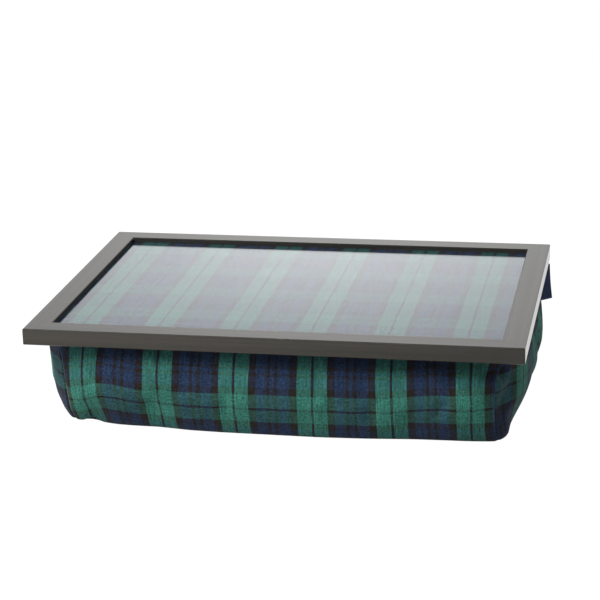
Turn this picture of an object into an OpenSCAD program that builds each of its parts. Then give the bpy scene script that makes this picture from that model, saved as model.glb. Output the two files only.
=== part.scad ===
// Lap tray: a framed tartan panel under a clear sheet, on a bead-filled cushion.
// Sizes are in millimetres. The origin is the middle of the cushion's flat underside,
// +X is to the right, +Y to the back and +Z up. "Inset" is a distance inwards from the
// frame's outer edge.

/* [Tray frame] */
// Outer width of the frame
tray_width = 430; // [400:5:480]
// Outer depth of the frame, front to back
tray_depth = 310; // [290:5:350]
// Width of a rail, seen from above
rail_width = 20.5; // [19:0.5:26]
// Height of a rail
rail_height = 14.5; // [13:0.5:18]
// Height of the lip above the clear sheet
lip_height = 4; // [3:0.5:5]
// Width of the rebate that takes the sheet, the cloth and the board
rebate_width = 7; // [6:0.5:8]
// Bevel along the rail's edges
rail_bevel = 0.6; // [0.3:0.1:1]

/* [Panel under the lip] */
// Thickness of the clear sheet
sheet_thickness = 2; // [1.5:0.1:2.5]
// Thickness of the tartan cloth under it
panel_fabric_thickness = 0.5; // [0.3:0.1:0.8]
// Thickness of the backing board
board_thickness = 3; // [2:0.1:3.5]
// Room between the panel and the rebate's wall, each side
panel_clearance = 0.5; // [0.2:0.1:1]

/* [Fasteners of the frame] */
// Length of each leg of a corner nail
nail_leg = 7; // [5:0.5:8]
// Height of a corner nail
nail_height = 8; // [5:0.5:9]
// Thickness of a corner nail
nail_thickness = 0.5; // [0.3:0.1:0.8]
// Distance of the first corner nail from the frame's outer corner, along each edge
nail_inset = 3.5; // [3:0.5:4]
// Distance from the first corner nail to the second, along each edge
nail_spacing = 5.5; // [4:0.5:6]
// Length of a glazing point, from its tip in the rail to its end on the board
point_length = 14; // [12:0.5:16]
// How much of a glazing point lies over the board
point_reach = 7; // [5:0.5:8]
// Width of a glazing point
point_width = 6; // [4:0.5:8]
// Thickness of a glazing point
point_thickness = 0.4; // [0.3:0.1:0.6]
// Glazing points along the front and the back
points_along_width = 4; // [2:1:5]
// Glazing points along each side
points_along_depth = 3; // [2:1:4]
// Distance from a corner of the frame to the first glazing point
point_margin = 50; // [40:5:80]

/* [Hook and loop] */
// Length of a strip
strip_length = 100; // [60:5:110]
// Width of a strip
strip_width = 20; // [16:1:25]
// Corner radius of a strip
strip_corner_radius = 2; // [1:0.5:4]
// Thickness of a hook strip
hook_thickness = 1.7; // [1.2:0.1:2]
// Thickness of a loop strip
loop_thickness = 1.6; // [1.2:0.1:2]
// Gap between the hooks and the loops
grip_gap = 0.2; // [0.1:0.05:0.4]
// Distance of a strip's middle from the tray's middle, to the side
strip_offset_x = 85; // [70:5:90]
// Distance of a strip's middle from the tray's middle, to the front or back
strip_offset_y = 70; // [40:5:75]

/* [Cushion] */
// Height of the cushion's crown above the table
cushion_height = 80; // [70:1:110]
// Rise of the crown above the top seam
crown_rise = 3; // [2.5:0.5:5]
// Thickness of the cover's cloth
cloth_thickness = 1.2; // [1:0.1:1.6]
// Room between the cover and the bead bag
fill_clearance = 0.3; // [0.2:0.1:0.6]
// Inset of the corner seams at the top, from the sides of the frame
corner_top_inset_x = 25; // [22:1:35]
// Inset of the corner seams at the top, from the front and back of the frame
corner_top_inset_y = 15; // [12:1:25]
// Inset of the corner seams at the base, from the sides of the frame
corner_base_inset_x = 31; // [25:1:42]
// Inset of the corner seams at the base, from the front and back of the frame
corner_base_inset_y = 24; // [18:1:32]
// Height of the base corners above the table
corner_lift = 4; // [2:0.5:8]
// Inset of the front and back walls at the top seam
wall_top_inset = 11; // [8:0.5:14]
// Inset of the front and back walls where they bulge most
wall_widest_inset = 5; // [3:0.5:8]
// Inset of the front and back walls at the table
wall_base_inset = 23; // [18:1:32]
// Inset of the side walls at the top seam
side_top_inset = 10; // [7:0.5:14]
// Inset of the side walls where they bulge most
side_widest_inset = 2; // [1:0.5:6]
// Inset of the side walls at the table
side_base_inset = 16; // [12:1:28]
// Length over which the front and back walls curve in to a corner seam
wall_corner_round = 50; // [30:5:70]
// Length over which the side walls curve in to a corner seam
side_corner_round = 105; // [80:5:115]
// Height of the middle of the walls' upright band, where the zip lies
band_height = 48; // [40:1:52]
// Height of that upright band
band_width = 28; // [27:1:32]

/* [Zip] */
// Width of one zip tape
tape_width = 12; // [9:0.5:12.5]
// Thickness of a zip tape
tape_thickness = 0.6; // [0.4:0.1:0.8]
// Width of the slit between the two rows of coil
zip_slit = 1; // [0.9:0.1:1.2]
// Width of one row of coil
coil_width = 2.7; // [2.4:0.1:3]
// Thickness of the coil
coil_thickness = 2; // [1.6:0.1:2.2]
// Distance from one turn of the coil to the next
coil_pitch = 1.5; // [1.2:0.1:2]
// Length of cloth tape beyond the stops
tape_tail = 6; // [5:0.5:10]
// Clearance between the slider and what it runs on
slider_clearance = 0.2; // [0.15:0.05:0.3]
// Room on either side of the slider, to the cloth and to the end stops
slider_side_room = 0.3; // [0.2:0.05:0.5]
// Length of the slider
slider_length = 10; // [9:0.5:12]
// Thickness of the slider's plates
slider_plate = 1; // [0.8:0.1:1.2]
// Thickness of the slider's side flanges
slider_flange = 0.8; // [0.6:0.1:1]
// Length of the pull, from its hinge bar
pull_length = 24; // [18:1:30]
// Width of the pull
pull_width = 6; // [5.5:0.5:8]
// Radius of the pull's hinge bar
pull_bar_radius = 0.7; // [0.6:0.1:0.8]

/* [Label] */
// Height of the folded label, along the seam
label_height = 35; // [25:1:40]
// How far the label stands out from the corner seam
label_reach = 29; // [20:1:34]
// Thickness of the label, folded
label_thickness = 1.2; // [0.8:0.1:1.6]
// Lean of the label's free edge, in degrees
label_lean = 5; // [0:1:8]
// Turn of the label from the right side towards the back, in degrees
label_turn = 30; // [15:5:50]

/* [Hidden] */
$fn = 32;

// Heights of the tray, stacked on the cushion's crown
board_underside = cushion_height + loop_thickness + grip_gap + hook_thickness;
board_top = board_underside + board_thickness;
sheet_underside = board_top + panel_fabric_thickness;
lip_underside = sheet_underside + sheet_thickness;
tray_top = lip_underside + lip_height;
tray_underside = tray_top - rail_height;

// The panel fits between the walls of the rebates
rebate_wall = rail_width - rebate_width;
panel_width = tray_width - 2 * rebate_wall - 2 * panel_clearance;
panel_depth = tray_depth - 2 * rebate_wall - 2 * panel_clearance;

// Grid of the cushion: columns run left to right, ranks front to back, rows base to top.
// Each side has a flat middle and a rounded run at either corner seam.
flat_columns = 4;
round_columns = 7;
columns = flat_columns + 2 * round_columns;
flat_ranks = 4;
round_ranks = 5;
ranks = flat_ranks + 2 * round_ranks;
lower_rows = 4;
upper_rows = 3;
rows = lower_rows + 1 + upper_rows;
band_base = band_height - band_width / 2;
band_top = band_height + band_width / 2;
seam_height = cushion_height - crown_rise;
wall_squareness = 1.1;
side_squareness = 1.8;
// Power of the curve in to a corner seam: the higher, the fuller the corner
corner_power = 3.5;
// The base would sag this far below the table, and is flat there
table_cut = 0.5;

half_width = tray_width / 2;
half_depth = tray_depth / 2;
flat_share_x = 1 - wall_corner_round / (half_width - corner_top_inset_x);
flat_share_y = 1 - side_corner_round / (half_depth - corner_top_inset_y);

function lerp(a, b, share) = a + (b - a) * share;

// Share across a side, from -1 to 1, of one grid line
function grid_share(index, flat_count, round_count, flat_share) =
  let (
    count = flat_count + 2 * round_count,
    from_middle = abs(index - count / 2),
    in_round = from_middle - flat_count / 2,
    share = in_round <= 0
      ? flat_share * from_middle / (flat_count / 2)
      : lerp(flat_share, 1, in_round / round_count)
  )
  index < count / 2 ? -share : share;

function column_share(i) = grid_share(i, flat_columns, round_columns, flat_share_x);
function rank_share(k) = grid_share(k, flat_ranks, round_ranks, flat_share_y);

// Fullness of a side: 1 over its flat middle, falling to 0 at the corner seams
function fullness(share, flat_share) =
  abs(share) <= flat_share ? 1 : 1 - pow((abs(share) - flat_share) / (1 - flat_share), corner_power);

function fullness_x(i) = fullness(column_share(i), flat_share_x);
function fullness_y(k) = fullness(rank_share(k), flat_share_y);

// Upright section of a wall at one row, as distance out and height
function wall_section(row, base, widest, top, low, squareness) =
  row <= lower_rows
    ? let (angle = 90 * row / lower_rows)
      [lerp(base, widest, pow(sin(angle), squareness)),
       lerp(band_base, low, pow(cos(angle), squareness))]
    : let (angle = 90 * (row - lower_rows - 1) / upper_rows)
      [lerp(top, widest, cos(angle)), lerp(band_top, seam_height, sin(angle))];

function front_section(row) = wall_section(
  row, half_depth - wall_base_inset, half_depth - wall_widest_inset,
  half_depth - wall_top_inset, 0, wall_squareness);
function side_section(row) = wall_section(
  row, half_width - side_base_inset, half_width - side_widest_inset,
  half_width - side_top_inset, 0, side_squareness);
function seam_section(row) = wall_section(
  row, half_depth - corner_base_inset_y, half_depth - corner_top_inset_y,
  half_depth - corner_top_inset_y, corner_lift, wall_squareness);

function seam_y(row) = seam_section(row)[0];
function seam_z(row) = seam_section(row)[1];
function seam_x(row) = lerp(
  half_width - corner_base_inset_x, half_width - corner_top_inset_x,
  (seam_z(row) - corner_lift) / (seam_height - corner_lift));

// Height of a point on a surface that lies "inset" inside the outer one
function inset_height(z, inset) = inset + z * (seam_height - 2 * inset) / seam_height;

// Points of the front or back wall, of a side wall, of the base and of the top
function wall_point(direction, i, row, inset) = [
  column_share(i) * (seam_x(row) - inset),
  direction * (lerp(seam_y(row), front_section(row)[0], fullness_x(i)) - inset),
  inset_height(lerp(seam_z(row), front_section(row)[1], fullness_x(i)), inset)];
function side_point(direction, k, row, inset) = [
  direction * (lerp(seam_x(row), side_section(row)[0], fullness_y(k)) - inset),
  rank_share(k) * (seam_y(row) - inset),
  inset_height(lerp(seam_z(row), side_section(row)[1], fullness_y(k)), inset)];
function plan_point(i, k, row, inset) = [
  column_share(i) * (lerp(seam_x(row), side_section(row)[0], fullness_y(k)) - inset),
  rank_share(k) * (lerp(seam_y(row), front_section(row)[0], fullness_x(i)) - inset)];
function base_point(i, k, inset) =
  let (
    plan = plan_point(i, k, 0, inset),
    lift = corner_lift * (1 - fullness_x(i)) * (1 - fullness_y(k)),
    sag = table_cut * fullness_x(i) * fullness_y(k)
  )
  [plan[0], plan[1], inset_height(max(0, lift - sag), inset)];
function top_point(i, k, inset) =
  let (
    plan = plan_point(i, k, rows, inset),
    rise = crown_rise * fullness_x(i) * fullness_y(k)
  )
  [plan[0], plan[1], inset_height(seam_height, inset) + rise];

// The body panel runs from right to left, and down the front, under and up the back
function body_point(u, m, inset) =
  let (i = columns - u)
  m <= rows ? wall_point(-1, i, rows - m, inset)
  : m <= rows + ranks ? base_point(i, m - rows, inset)
  : wall_point(1, i, m - rows - ranks, inset);

function quad(a, b, c, d) = [[a, b, c], [a, c, d]];
function joined(lists) = [for (list = lists) for (item = list) item];

// A cloth panel between the outer surface and the one a cloth's thickness inside it.
// point(u, v, inset) gives its grid, with v a quarter turn left of u, seen from outside.
module cloth_panel(point, u_count, v_count) {
  stride = u_count + 1;
  layer = stride * (v_count + 1);
  function at(u, v, side) = side * layer + v * stride + u;
  skin = [for (v = [0:v_count - 1]) for (u = [0:u_count - 1]) each concat(
    quad(at(u, v, 0), at(u, v + 1, 0), at(u + 1, v + 1, 0), at(u + 1, v, 0)),
    quad(at(u, v, 1), at(u + 1, v, 1), at(u + 1, v + 1, 1), at(u, v + 1, 1)))];
  edges_u = [for (u = [0:u_count - 1]) each concat(
    quad(at(u, 0, 0), at(u + 1, 0, 0), at(u + 1, 0, 1), at(u, 0, 1)),
    quad(at(u, v_count, 0), at(u, v_count, 1), at(u + 1, v_count, 1), at(u + 1, v_count, 0)))];
  edges_v = [for (v = [0:v_count - 1]) each concat(
    quad(at(0, v, 0), at(0, v, 1), at(0, v + 1, 1), at(0, v + 1, 0)),
    quad(at(u_count, v, 0), at(u_count, v + 1, 0), at(u_count, v + 1, 1), at(u_count, v, 1)))];
  polyhedron(
    points = [for (inset = [0, cloth_thickness])
      for (v = [0:v_count]) for (u = [0:u_count]) point(u, v, inset)],
    faces = concat(skin, edges_u, edges_v));
}

// The whole cushion as one closed solid, "inset" inside the cover's outer surface
module cushion_form(inset) {
  ring = 2 * (columns + ranks);
  wall_points = ring * (rows + 1);
  inner_points = (columns - 1) * (ranks - 1);
  function on_edge(i, k) = i == 0 || k == 0 || i == columns || k == ranks;
  function ring_place(i, k) =
    k == 0 ? i
    : i == columns ? columns + k
    : k == ranks ? columns + ranks + (columns - i)
    : 2 * columns + ranks + (ranks - k);
  function inner_place(i, k) = wall_points + (k - 1) * (columns - 1) + i - 1;
  function base_index(i, k) = on_edge(i, k) ? ring_place(i, k) : inner_place(i, k);
  function top_index(i, k) =
    on_edge(i, k) ? ring * rows + ring_place(i, k) : inner_points + inner_place(i, k);
  function ring_point(place, row) =
    place <= columns ? wall_point(-1, place, row, inset)
    : place <= columns + ranks ? side_point(1, place - columns, row, inset)
    : place <= 2 * columns + ranks ? wall_point(1, 2 * columns + ranks - place, row, inset)
    : side_point(-1, ring - place, row, inset);
  walls = [for (row = [0:rows - 1]) for (place = [0:ring - 1])
    let (next = (place + 1) % ring)
    each quad(row * ring + place, (row + 1) * ring + place,
              (row + 1) * ring + next, row * ring + next)];
  base = [for (k = [0:ranks - 1]) for (i = [0:columns - 1])
    each quad(base_index(i, k), base_index(i + 1, k),
              base_index(i + 1, k + 1), base_index(i, k + 1))];
  top = [for (k = [0:ranks - 1]) for (i = [0:columns - 1])
    each quad(top_index(i, k), top_index(i, k + 1),
              top_index(i + 1, k + 1), top_index(i + 1, k))];
  polyhedron(
    points = concat(
      [for (row = [0:rows]) for (place = [0:ring - 1]) ring_point(place, row)],
      [for (k = [1:ranks - 1]) for (i = [1:columns - 1]) base_point(i, k, inset)],
      [for (k = [1:ranks - 1]) for (i = [1:columns - 1]) top_point(i, k, inset)]),
    faces = concat(walls, base, top));
}

// A flat slab on its underside's height, with its middle over the origin
module slab(width, depth, thickness, underside) {
  translate([-width / 2, -depth / 2, underside])
    cube([width, depth, thickness]);
}

module rounded_slab(length, width, thickness, radius) {
  linear_extrude(thickness)
    union() {
      square([length - 2 * radius, width], center = true);
      square([length, width - 2 * radius], center = true);
      for (x = [-1, 1], y = [-1, 1])
        translate([x * (length / 2 - radius), y * (width / 2 - radius)])
          circle(radius);
    }
}

// One rail along X with its outer edge on Y = 0, mitred at both ends
module rail_blank(length) {
  section = [
    [rail_bevel, rail_height], [rail_width - rail_bevel, rail_height],
    [rail_width, rail_height - rail_bevel], [rail_width, rail_height - lip_height],
    [rebate_wall, rail_height - lip_height], [rebate_wall, 0],
    [rail_bevel, 0], [0, rail_bevel], [0, rail_height - rail_bevel]];
  mitre = [
    [-length / 2, 0], [length / 2, 0],
    [length / 2 - rail_width, rail_width], [-length / 2 + rail_width, rail_width]];
  intersection() {
    rotate([90, 0, 90])
      linear_extrude(length, center = true)
        polygon(section);
    linear_extrude(rail_height)
      polygon(mitre);
  }
}

// Angled nail with its bend on the mitre line, and one leg in each rail
module corner_nail() {
  translate([0, -nail_leg, 0])
    cube([nail_thickness, nail_leg + nail_thickness, nail_height]);
  translate([-nail_leg, 0, 0])
    cube([nail_leg + nail_thickness, nail_thickness, nail_height]);
}

module all_corner_nails() {
  for (x = [0, 1], y = [0, 1], distance = [nail_inset, nail_inset + nail_spacing])
    mirror([x, 0, 0])
      mirror([0, y, 0])
        translate([half_width - distance - nail_thickness,
                   half_depth - distance - nail_thickness, tray_underside])
          corner_nail();
}

// Flat arrow point lying against the board, with its tip in a rail at Y = 0 and below
module glazing_point() {
  depth_in_rail = point_length - point_reach;
  tip = point_width / 2;
  linear_extrude(point_thickness)
    polygon([
      [-point_width / 2, point_reach], [point_width / 2, point_reach],
      [point_width / 2, tip - depth_in_rail], [0, -depth_in_rail],
      [-point_width / 2, tip - depth_in_rail]]);
}

module point_row(count, run) {
  for (n = [0:count - 1])
    translate([run * (n / (count - 1) - 0.5), 0, 0])
      glazing_point();
}

module all_glazing_points() {
  wall_x = half_width - rebate_wall;
  wall_y = half_depth - rebate_wall;
  translate([0, 0, board_underside - point_thickness]) {
    for (turn = [0, 180])
      rotate(turn)
        translate([0, -wall_y, 0])
          point_row(points_along_width, tray_width - 2 * point_margin);
    for (turn = [90, 270])
      rotate(turn)
        translate([0, -wall_x, 0])
          point_row(points_along_depth, tray_depth - 2 * point_margin);
  }
}

// A rail in its place: turn 0 is the front, 90 the right, 180 the back and 270 the left
module placed_rail(turn) {
  along_width = turn % 180 == 0;
  length = along_width ? tray_width : tray_depth;
  edge = along_width ? half_depth : half_width;
  difference() {
    rotate(turn)
      translate([0, -edge, tray_underside])
        rail_blank(length);
    all_corner_nails();
    all_glazing_points();
  }
}

module front_rail() {
  color("#4a4947")
    placed_rail(0);
}

module right_rail() {
  color("#4a4947")
    placed_rail(90);
}

module back_rail() {
  color("#4a4947")
    placed_rail(180);
}

module left_rail() {
  color("#4a4947")
    placed_rail(270);
}

module corner_nails() {
  color("silver")
    all_corner_nails();
}

module glazing_points() {
  color("silver")
    all_glazing_points();
}

module clear_sheet() {
  color([0.8, 0.87, 0.88, 0.3])
    slab(panel_width, panel_depth, sheet_thickness, sheet_underside);
}

module panel_fabric() {
  color("#23504a")
    slab(panel_width, panel_depth, panel_fabric_thickness, board_top);
}

module backing_board() {
  color("#a98f6c")
    slab(panel_width, panel_depth, board_thickness, board_underside);
}

module strip_at(x, y, thickness, underside) {
  translate([x * strip_offset_x, y * strip_offset_y, underside])
    rounded_slab(strip_length, strip_width, thickness, strip_corner_radius);
}

module hook_strip(x, y) {
  color("#22242a")
    strip_at(x, y, hook_thickness, board_underside - hook_thickness);
}

module loop_strip(x, y) {
  color("#2c2f38")
    strip_at(x, y, loop_thickness, cushion_height);
}

module cover_top() {
  color("#1f3f47")
    cloth_panel(function(i, k, inset) top_point(i, k, inset), columns, ranks);
}

// The cover's back wall is upright and flat round the zip
back_face = half_depth - wall_widest_inset;
tape_face = back_face - cloth_thickness;
slider_half = zip_slit / 2 + coil_width + slider_clearance + slider_flange;
zip_opening_half = slider_half + slider_side_room;
flat_back_half = flat_share_x * seam_x(lower_rows) - 2 * cloth_thickness;
coil_half = flat_back_half - tape_tail;
stop_length = 3;
stop_rise = 0.8;
chain_half = coil_half - stop_length;

module cover_body() {
  color("#1d4a45")
    difference() {
      cloth_panel(function(u, m, inset) body_point(u, m, inset), columns, 2 * rows + ranks);
      translate([-coil_half, tape_face - cloth_thickness, band_height - zip_opening_half])
        cube([2 * coil_half, 3 * cloth_thickness, 2 * zip_opening_half]);
    }
}

module gusset_left() {
  color("#24574d")
    cloth_panel(function(k, row, inset) side_point(-1, ranks - k, row, inset), ranks, rows);
}

module gusset_right() {
  color("#24574d")
    cloth_panel(function(k, row, inset) side_point(1, k, row, inset), ranks, rows);
}

// Depth of the hollow that the tapes and the slider press into the bead bag
zip_hollow = tape_thickness + slider_clearance + slider_plate + fill_clearance;

module bead_fill() {
  hollow_half = tape_width + fill_clearance;
  color("#d9d6cc")
    difference() {
      cushion_form(cloth_thickness + fill_clearance);
      translate([-flat_back_half - fill_clearance, tape_face - zip_hollow,
                 band_height - hollow_half])
        cube([2 * (flat_back_half + fill_clearance), zip_hollow, 2 * hollow_half]);
    }
}

// The label is sewn in the right back corner seam and stands out from the corner
label_seam_row = lower_rows + 1;
label_drop = 6;
// Length of the label that is caught in the seam
label_root = 8;

module flag_label() {
  base = [seam_x(label_seam_row), seam_y(label_seam_row)];
  top = seam_height - label_drop;
  color("#1d2742")
    difference() {
      translate([base[0], base[1], top])
        rotate([0, -label_lean, label_turn])
          translate([-label_root, -label_thickness / 2, -label_height])
            cube([label_reach + label_root, label_thickness, label_height]);
      cushion_form(0);
    }
}

module zip_tape(direction) {
  low = direction > 0 ? zip_slit / 2 : -tape_width;
  color("#20242c")
    translate([-flat_back_half, tape_face - tape_thickness, band_height + low])
      cube([2 * flat_back_half, tape_thickness, tape_width - zip_slit / 2]);
}

module zip_tape_upper() {
  zip_tape(1);
}

module zip_tape_lower() {
  zip_tape(-1);
}

// One row of the coil: a spine with a tooth at each turn
module zip_coil(direction) {
  turns = floor(2 * chain_half / coil_pitch);
  tooth = 0.6 * coil_pitch;
  root = zip_slit / 2 + 0.4 * coil_width;
  start = -turns * coil_pitch / 2;
  outline = concat(
    [[-chain_half, root]],
    [for (n = [0:turns - 1],
          corner = [[0, root], [0, zip_slit / 2], [tooth, zip_slit / 2], [tooth, root]])
      [start + n * coil_pitch + corner[0] + (coil_pitch - tooth) / 2, corner[1]]],
    [[chain_half, root], [chain_half, zip_slit / 2 + coil_width],
     [-chain_half, zip_slit / 2 + coil_width]]);
  color("#15181f")
    translate([0, tape_face + coil_thickness, band_height])
      rotate([90, 0, 0])
        linear_extrude(coil_thickness)
          scale([1, direction])
            polygon(outline);
}

module zip_coil_upper() {
  zip_coil(1);
}

module zip_coil_lower() {
  zip_coil(-1);
}

module zip_top_stops() {
  color("silver")
    for (direction = [0, 1])
      translate([0, 0, band_height])
        mirror([0, 0, direction])
          translate([chain_half, tape_face, zip_slit / 2])
            cube([stop_length, coil_thickness + stop_rise, coil_width]);
}

module zip_bottom_stop() {
  width = 2 * coil_width + zip_slit;
  color("silver")
    translate([-coil_half, tape_face, band_height - width / 2])
      cube([stop_length, coil_thickness + stop_rise, width]);
}

// The slider rests at the closed end, against the top stops
slider_x = chain_half - slider_length / 2 - slider_side_room;
upper_plate = tape_face + coil_thickness + slider_clearance;
plate_face = upper_plate + slider_plate;
pull_axis = plate_face + slider_clearance + pull_bar_radius;
bail_half_width = 1;
bail_half_length = 3.2;
bail_thickness = 0.9;
bail_bevel = 0.5;
post_length = 2.4;
post_from_nose = 0.6;
pull_thickness = 1;
pull_bar_half = 2.4;
pull_side_room = 0.4;
pull_end_room = 1.2;
pull_arm_inside = bail_half_width + pull_side_room;
pull_eye = bail_half_length + pull_end_room;
pull_hole_radius = 1.2;
bail_inside = 2 * (pull_bar_radius + slider_clearance);

// Outline of the slider's plates: wide shoulders at the nose, narrow at the tail
module slider_outline() {
  nose = slider_length / 2;
  shoulder = 1.2;
  heel = 0.6;
  tail_half = slider_half - slider_flange / 2;
  polygon([
    [-nose, -tail_half + heel], [-nose + heel, -tail_half], [-nose / 3, -slider_half],
    [nose - shoulder, -slider_half], [nose, -slider_half + shoulder],
    [nose, slider_half - shoulder], [nose - shoulder, slider_half],
    [-nose / 3, slider_half], [-nose + heel, tail_half], [-nose, tail_half - heel]]);
}

module zip_slider() {
  lower_face = tape_face - tape_thickness - slider_clearance - slider_plate;
  flange_foot = tape_face + slider_side_room;
  channel_half = slider_half - slider_flange;
  post_half = zip_slit / 2 - slider_clearance;
  color("#8d8f92")
    translate([slider_x, 0, band_height]) {
      difference() {
        translate([0, plate_face, 0])
          rotate([90, 0, 0])
            linear_extrude(plate_face - flange_foot)
              slider_outline();
        translate([-slider_length, flange_foot - slider_plate, -channel_half])
          cube([2 * slider_length, upper_plate - flange_foot + slider_plate, 2 * channel_half]);
      }
      translate([0, lower_face + slider_plate, 0])
        rotate([90, 0, 0])
          linear_extrude(slider_plate)
            slider_outline();
      translate([slider_length / 2 - post_from_nose - post_length,
                 lower_face + slider_plate / 2, -post_half])
        cube([post_length, upper_plate - lower_face, 2 * post_half]);
      translate([0, plate_face, -bail_half_width])
        linear_extrude(2 * bail_half_width)
          bail_outline();
    }
}

// Side view of the bail that carries the pull
module bail_outline() {
  outer = bail_inside + bail_thickness;
  inner_half = bail_half_length - bail_thickness;
  difference() {
    polygon([
      [-bail_half_length, -slider_plate / 2], [bail_half_length, -slider_plate / 2],
      [bail_half_length, outer - bail_bevel], [bail_half_length - bail_bevel, outer],
      [-bail_half_length + bail_bevel, outer], [-bail_half_length, outer - bail_bevel]]);
    translate([-inner_half, 0])
      square([2 * inner_half, bail_inside]);
  }
}

// The pull lies along the chain and turns about an upright bar in the bail
module zip_pull() {
  tip_centre = pull_length - pull_width / 2;
  color("#8d8f92")
    translate([slider_x, pull_axis, band_height]) {
      translate([0, 0, -pull_bar_half])
        cylinder(h = 2 * pull_bar_half, r = pull_bar_radius);
      rotate([90, 0, 0])
        linear_extrude(pull_thickness, center = true)
          difference() {
            union() {
              translate([-pull_eye - pull_thickness, -pull_bar_half])
                square([pull_eye + pull_thickness, 2 * pull_bar_half]);
              translate([-tip_centre, -pull_width / 2])
                square([tip_centre - pull_eye, pull_width]);
              translate([-tip_centre, 0])
                circle(pull_width / 2);
            }
            translate([-pull_eye, -pull_arm_inside])
              square([2 * pull_eye, 2 * pull_arm_inside]);
            translate([-tip_centre, 0])
              circle(pull_hole_radius);
          }
    }
}

front_rail();
back_rail();
left_rail();
right_rail();
corner_nails();
glazing_points();
clear_sheet();
panel_fabric();
backing_board();
hook_strip(-1, -1);  // hook_strip_front_left
hook_strip(1, -1);  // hook_strip_front_right
hook_strip(-1, 1);  // hook_strip_back_left
hook_strip(1, 1);  // hook_strip_back_right
loop_strip(-1, -1);  // loop_strip_front_left
loop_strip(1, -1);  // loop_strip_front_right
loop_strip(-1, 1);  // loop_strip_back_left
loop_strip(1, 1);  // loop_strip_back_right
cover_top();
cover_body();
gusset_left();
gusset_right();
bead_fill();
flag_label();
zip_tape_upper();
zip_tape_lower();
zip_coil_upper();
zip_coil_lower();
zip_top_stops();
zip_bottom_stop();
zip_slider();
zip_pull();
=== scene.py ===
import math

import bmesh
import bpy
import numpy as np
from mathutils import Matrix, Vector, noise
from mathutils.kdtree import KDTree


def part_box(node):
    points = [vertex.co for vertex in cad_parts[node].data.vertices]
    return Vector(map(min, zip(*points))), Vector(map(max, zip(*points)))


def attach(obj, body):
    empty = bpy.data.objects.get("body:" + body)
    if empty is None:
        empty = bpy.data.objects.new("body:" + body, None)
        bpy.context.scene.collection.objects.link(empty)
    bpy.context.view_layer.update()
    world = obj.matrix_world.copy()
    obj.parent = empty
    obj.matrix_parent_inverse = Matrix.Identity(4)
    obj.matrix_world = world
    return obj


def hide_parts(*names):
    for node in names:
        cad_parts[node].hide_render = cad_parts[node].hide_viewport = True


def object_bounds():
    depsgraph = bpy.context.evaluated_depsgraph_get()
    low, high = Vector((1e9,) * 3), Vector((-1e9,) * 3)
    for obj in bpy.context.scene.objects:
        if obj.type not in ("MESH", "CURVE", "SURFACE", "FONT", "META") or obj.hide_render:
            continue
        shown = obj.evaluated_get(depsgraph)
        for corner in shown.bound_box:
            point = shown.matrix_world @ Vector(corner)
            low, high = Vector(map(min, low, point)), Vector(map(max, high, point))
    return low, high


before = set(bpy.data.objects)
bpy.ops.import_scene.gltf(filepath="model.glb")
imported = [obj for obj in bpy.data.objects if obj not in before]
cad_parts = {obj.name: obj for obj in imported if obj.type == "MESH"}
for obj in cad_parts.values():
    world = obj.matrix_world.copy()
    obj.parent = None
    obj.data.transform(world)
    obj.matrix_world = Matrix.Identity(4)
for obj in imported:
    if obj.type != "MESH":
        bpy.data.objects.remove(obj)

cad_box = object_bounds()
MM = 0.001

# Camera: angles in degrees, and the picture's focal length and width in pixels
CAMERA_AZIMUTH = 10.917
CAMERA_ELEVATION = 17.583
CAMERA_ROLL = -1.32
CAMERA_DISTANCE = 1.82048
CAMERA_OFFSET = (-1.427 * MM, -14.508 * MM)
FOCAL_PIXELS = 2000
PICTURE_PIXELS = 600
SENSOR_WIDTH = 36

# Threads of the tartan, and its stripes from the edge of a green pair, in millimetres
THREADS = {
    "green": (0.046, 0.198, 0.152),
    "blue": (0.022, 0.040, 0.088),
    "black": (0.024, 0.019, 0.017),
}
STRIPES = (
    ("green", 11.8), ("black", 2.1), ("green", 11.8), ("black", 6.3), ("blue", 9.5),
    ("black", 2.9), ("blue", 3.5), ("black", 2.9), ("blue", 9.8), ("black", 6.5),
)
GREEN_CENTRE = 12.85
REPEAT = 67 * MM
WARP_SHARE = 0.66
TWILL_WIDTH = 1.7 * MM

# Places of a green pair's middle on each cloth, and tables of a place and the pattern's shift there
# in millimetres, where the cloth is skewed, spread or wrapped round a corner
PANEL_GREEN = (30 * MM, -17.5 * MM)
PANEL_SKEW = ((-88, 0), (-18, 0), (47, -2.5), (107, -9), (140, -12))
FRONT_GREEN_X = 34.6 * MM
FRONT_GREEN_Z = 27.8 * MM
FRONT_SPREAD = {-1: 0.044, 1: 0.018}
FRONT_WRAP = ((-190, -3), (-184, -2.3), (-171, -1.2), (-150, -0.4), (-130, 0),
              (150, 0), (169, 1.3), (182, 3.6), (190, 5.2))
WRAP_AT_TOP = 0.3
SPREAD_HEIGHT = 40 * MM
FRONT_SKEW = ((-185, -3), (-172, 0), (-158, 4), (-143, 3), (-120, -1.5), (95, 0), (135, 5), (190, 6))
GUSSET_GREEN_Y = {-1: 103 * MM, 1: 98 * MM}
GUSSET_GREEN_Z = {-1: 47 * MM, 1: 46.5 * MM}

# Tray
HALF_WIDTH = 215 * MM
HALF_DEPTH = 155 * MM
RAIL_WIDTH = 20.5 * MM
RAIL_HEIGHT = 14.5 * MM

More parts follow.
